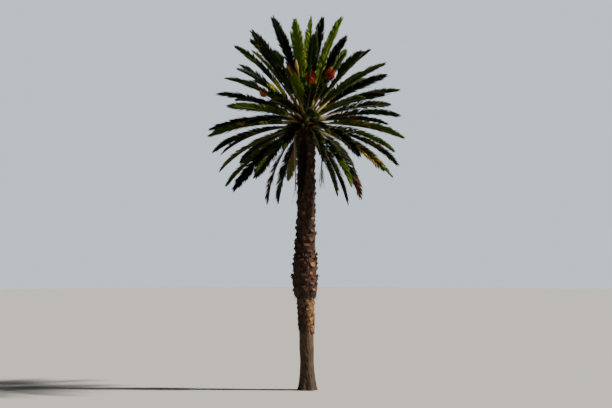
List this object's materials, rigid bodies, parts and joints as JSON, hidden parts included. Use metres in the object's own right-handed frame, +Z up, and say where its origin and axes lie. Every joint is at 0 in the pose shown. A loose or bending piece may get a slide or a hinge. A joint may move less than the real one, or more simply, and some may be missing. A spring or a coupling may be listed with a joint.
{
  "type": "date palm tree",
  "caption": "Tall date palm: bare lower stem, stub tier, stem coated with old leaf bases, round crown of stiff feather fronds, dead fronds below, fruit among them.",
  "frame": {"origin": "centre of the flat cut at ground level, on the ground mount", "axes": "+Z up along the stem; -Y towards the viewer of the picture and +X to that viewer's right"},
  "size_m": [6.9106, 6.8479, 13.3352],
  "materials": {
    "trunk": "rough, weathered",
    "frond": "waxy leaf",
    "young_frond": "waxy leaf",
    "dry_frond": "dry leaf",
    "fruit": "smooth"
  },
  "bodies": {
    "root": {"dry_frond_79": "dry_frond", "dry_frond_80": "dry_frond", "dry_frond_81": "dry_frond", "dry_frond_82": "dry_frond", "dry_frond_83": "dry_frond", "frond_56": "frond", "frond_57": "frond", "frond_58": "frond", "frond_59": "frond", "frond_60": "frond", "frond_61": "frond", "frond_64": "frond", "frond_65": "frond", "frond_66": "frond", "frond_67": "frond", "frond_68": "frond", "frond_69": "frond", "frond_70": "frond", "frond_71": "frond", "frond_72": "frond", "frond_73": "frond", "frond_74": "frond", "frond_75": "frond", "frond_76": "frond", "frond_77": "frond", "frond_78": "frond", "fronds_06_14": "frond", "fronds_07_15": "frond", "fronds_08_16": "frond", "fronds_09_17": "frond", "fronds_10_18": "frond", "fronds_11_19": "frond", "fronds_12_20": "frond", "fronds_13_21": "frond", "fronds_22_30": "frond", "fronds_23_31": "frond", "fronds_24_32": "frond", "fronds_25_33": "frond", "fronds_26_34": "frond", "fronds_27_35": "frond", "fronds_28_36": "frond", "fronds_29_37": "frond", "fronds_38_46": "frond", "fronds_39_47": "frond", "fronds_40_48": "frond", "fronds_41_49": "frond", "fronds_42_50": "frond", "fronds_43_51": "frond", "fronds_44_52": "frond", "fronds_45_53": "frond", "fronds_54_62": "frond", "fronds_55_63": "frond", "fruit_bunch_front": "fruit", "fruit_bunch_left": "fruit", "fruit_bunch_rear": "fruit", "fruit_bunch_rear_left": "fruit", "fruit_bunch_right": "fruit", "fruit_bunch_side": "fruit", "trunk": "trunk", "young_fronds": "young_frond"}
  },
  "joints": []
}
